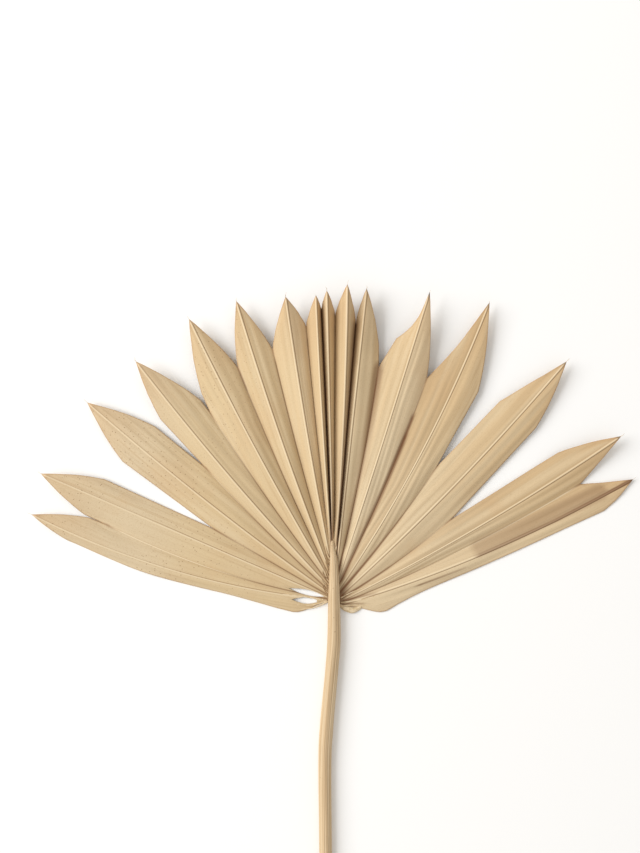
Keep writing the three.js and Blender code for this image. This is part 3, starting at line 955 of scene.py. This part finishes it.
def dry_leaf():
    leaf = Finish("dry_leaf")
    across, along, _ = leaf.uv("grain")
    segment, share, _ = leaf.uv("place")
    off_margin, free, _ = leaf.uv("edge")
    spot = leaf.place()
    x, y, _ = spot.parts()
    stain_and_shade = leaf.node("ShaderNodeAttribute", {"attribute_name": "stain_and_shade"}, {}, "Fac")
    fibres = leaf.noise(leaf.vector(across * 3.2, along * 0.035, segment * 3), 1.0, 3.0, 0.6)
    streaks = leaf.noise(leaf.vector(across * 0.8, along * 0.012, segment * 5), 1.0, 2.0)
    bands = leaf.noise(leaf.vector(across * 0.25, along * 0.006, segment * 2), 1.0, 1.0)
    cloud = leaf.noise(spot, 0.035, 3.0)
    stipple = leaf.noise(spot, 2.0, 2.0, 0.7)
    tint = leaf.noise(leaf.vector(segment.math("FLOOR", segment) * 3.3, 0.0, 0.0), 1.0, 0.0)
    specked = leaf.noise(spot, 0.03, 1.0).fade(0.4, 0.6) * (0.2 + 0.8 * x.fade(-20.0, -60.0))
    specks = leaf.dots(spot, 0.33).fade(0.085, 0.05) * specked
    outer = x.fade(-50.0, -85.0)
    colour = leaf.mix(x.fade(-70.0, 70.0), STRAW_LEFT, STRAW_RIGHT)
    reach = leaf.node("ShaderNodeVectorMath", {"operation": "LENGTH"}, {0: spot}, "Value")
    beside_hub = reach.fade(95.0, 45.0) * x.fade(-5.0, 10.0)
    colour = leaf.mix(outer + beside_hub * 0.7, colour, STRAW_OUTER)
    colour = leaf.mix(tint.fade(0.35, 0.75) * 0.3, colour, PALE_BAND_AND_PAINTED_LIGHT)
    # Painted light and shade: single flanks made lighter or darker than the light leaves them.
    for start, painted_flank_colour, painted_flank_share in PAINTED_LIGHT_AND_SHADE_FLANKS:
        end = start + FLANK_WIDTH
        flank = segment.fade(start, start + FLANK_EDGE) * segment.fade(end, end - FLANK_EDGE)
        colour = leaf.mix(flank * painted_flank_share, colour, painted_flank_colour)
    colour = leaf.mix(share.fade(0.72, 1.0) * 0.45, colour, STRAW_TIP)
    colour = leaf.mix(share.fade(0.955, 1.0) * 0.5, colour, RIM_BROWN)
    colour = leaf.mix(bands.fade(0.42, 0.68) * 0.5, colour, PALE_BAND_AND_PAINTED_LIGHT)
    colour = leaf.mix(streaks.fade(0.52, 0.74) * 0.30, colour, DARK_FIBRE_AND_PAINTED_SHADE)
    colour = leaf.mix(fibres.fade(0.52, 0.78) * 0.25, colour, DARK_FIBRE_AND_PAINTED_SHADE)
    colour = leaf.mix(stipple.fade(0.52, 0.68) * (0.24 + 0.14 * outer), colour, DARK_FIBRE_AND_PAINTED_SHADE)
    colour = leaf.mix(cloud.fade(0.52, 0.70) * 0.25, colour, STRAW_TIP)
    colour = leaf.mix(specks * 0.7, colour, SPECK_BROWN)
    middle = x.size().fade(60.0, 25.0)
    # Painted shadow: a thin dark line along the shaded side of each rib.
    painted_rib_shadow = across.fade(0.05, 0.25) * across.fade(0.75, 0.4)
    colour = leaf.mix(painted_rib_shadow * (0.6 - 0.45 * outer), colour, PAINTED_SHADE_BROWN)
    # The ribs' own cream, set a little towards the lit side of each rib, where it also serves as a painted
    # highlight.
    colour = leaf.mix((across + 0.12).size().fade(0.3, 0.12) * 0.65, colour, RIB_CREAM_AND_PAINTED_LIGHT)
    joined = 1 - free
    # Painted shade in the joined valleys: a wide soft band in the middle of the fan and a thin dark line along
    # each valley.
    colour = leaf.mix(off_margin.fade(2.0, 0.0) * joined * middle * 0.12, colour, PAINTED_SHADE_BROWN)
    colour = leaf.mix(off_margin.fade(0.6, 0.15) * joined * (0.1 + 0.65 * middle), colour, PAINTED_SHADE_BROWN)
    colour = leaf.mix(off_margin.fade(0.4, 0.2) * joined * (1 - middle) * 0.8, colour, RIB_CREAM_AND_PAINTED_LIGHT)
    colour = leaf.mix(off_margin.fade(0.7, 0.15) * free * 0.4, colour, RIM_BROWN)
    # Painted shade where the folds crowd together at the hub.
    colour = leaf.mix(reach.fade(24.0, 5.0) * 0.08, colour, PAINTED_SHADE_BROWN)
    # Real stains and painted shade in the folds, read from the mesh.
    colour = leaf.mix(stain_and_shade * 0.85, colour, STAIN_AND_SHADE_BROWN)
    grain = leaf.bump(fibres * 0.6 + streaks * 0.4, 0.35, GRAIN_DEPTH)
    return leaf.finish(base_color=colour, roughness=0.72 + fibres * 0.16, normal=grain)


blade.data.materials.append(dry_leaf())
print("blade finish:", blade.data.materials[0].name)

# %% [markdown]
# ## Stalk finish
#
# The stalk has the colour of straw with long fibres, darker in the furrows between them.

# %% Stalk finish
STALK_STRAW = (0.56, 0.40, 0.23)
STALK_PALE = (0.68, 0.53, 0.34)
STALK_FURROW = (0.36, 0.22, 0.10)


def dry_stalk():
    straw = Finish("dry_stalk")
    across, along, _ = straw.uv("grain")
    fibres = straw.noise(straw.vector(across * 2.4, along * 0.03, 0.0), 1.0, 3.0, 0.6)
    streaks = straw.noise(straw.vector(across * 0.8, along * 0.012, 7.0), 1.0, 2.0)
    spot = straw.place()
    specks = straw.noise(spot, 0.9, 2.0).fade(0.70, 0.75)
    colour = straw.mix(streaks.fade(0.4, 0.65), STALK_STRAW, STALK_PALE)
    colour = straw.mix(fibres.fade(0.5, 0.72) * 0.5, colour, STALK_FURROW)
    colour = straw.mix(specks * 0.5, colour, SPECK_BROWN)
    grain = straw.bump(fibres, 0.4, GRAIN_DEPTH)
    return straw.finish(base_color=colour, roughness=0.62 + fibres * 0.2, normal=grain)


stalk.data.materials.append(dry_stalk())
print("stalk finish:", stalk.data.materials[0].name)

# %% [markdown]
# ## Fibre finishes
#
# The strands and the lobe are too small for a grain of their own: cream for the cords and the lobe, brown for
# the loose fibres, and pale straw for the threads, each a little uneven.

# %% Fibre finishes


def dry_fibre(name, light, dark):
    fibre = Finish(name)
    uneven = fibre.noise(fibre.place(), 0.7, 2.0)
    return fibre.finish(base_color=fibre.mix(uneven.fade(0.4, 0.65), light, dark), roughness=0.8)


cream_fibre = dry_fibre("cream_fibre", RIB_CREAM_AND_PAINTED_LIGHT, STRAW_LEFT)
cords.data.materials.append(cream_fibre)
lobe.data.materials.append(cream_fibre)
fibres.data.materials.append(dry_fibre("brown_fibre", DARK_FIBRE_AND_PAINTED_SHADE, SPECK_BROWN))
tip_threads.data.materials.append(dry_fibre("thread", PALE_BAND_AND_PAINTED_LIGHT, DARK_FIBRE_AND_PAINTED_SHADE))
print("finishes:", sorted(material.name for material in bpy.data.materials))

# %% [markdown]
# ## Surface, light and camera
#
# The leaf lies on a plain pale surface. One large soft light stands on the left, as in the photograph, and a
# white surrounding fills the shadows. The camera looks straight down on the leaf.

# %% Surface
FLOOR_HALF = 3.0
FLOOR_WHITE = (0.92, 0.92, 0.92, 1.0)
floor_mesh = bmesh.new()
bmesh.ops.create_grid(floor_mesh, x_segments=2, y_segments=2, size=FLOOR_HALF)
floor = new_piece("pale_surface", floor_mesh)
floor.data.materials.append(Finish("pale_surface").finish(base_color=FLOOR_WHITE, roughness=0.9))
print("surface", 2 * FLOOR_HALF, "m across")

# %% Light
KEY_PLACE = Vector((-1.28, 0.36, 1.05))
KEY_SIZE = 1.2
KEY_POWER = 26.0
SURROUND = 0.66
SURROUND_COLOUR = (1.0, 0.97, 0.92, 1.0)
fan_middle = placed(0, 60, 0)
key_data = bpy.data.lights.new("key", "AREA")
key_data.size = KEY_SIZE
key_data.energy = KEY_POWER
key = bpy.data.objects.new("key", key_data)
key.location = fan_middle + KEY_PLACE
key.rotation_euler = (-KEY_PLACE).to_track_quat("-Z", "Y").to_euler()
bpy.context.scene.collection.objects.link(key)
world = bpy.data.worlds.new("surround")
world.use_nodes = True
world.node_tree.nodes["Background"].inputs["Color"].default_value = SURROUND_COLOUR
world.node_tree.nodes["Background"].inputs["Strength"].default_value = SURROUND
bpy.context.scene.world = world
bpy.context.scene.view_settings.view_transform = "Standard"
print("key light", round(KEY_PLACE.length, 2), "m away")

# %% Camera
PHOTO_MIDDLE = (-5.81, 72.0)  # millimetres from the hub
PHOTO_HEIGHT = 354.0
CAMERA_DISTANCE = 1.0
LEAF_MIDDLE_HEIGHT = 4.0
camera_data = bpy.data.cameras.new("camera")
camera_data.lens = camera_data.sensor_width * CAMERA_DISTANCE / (PHOTO_HEIGHT * MM)
camera = bpy.data.objects.new("camera", camera_data)
camera.location = placed(*PHOTO_MIDDLE, LEAF_MIDDLE_HEIGHT) + Vector((0, 0, CAMERA_DISTANCE))
bpy.context.scene.collection.objects.link(camera)
bpy.context.scene.camera = camera
print("camera lens", round(camera_data.lens, 1), "mm")
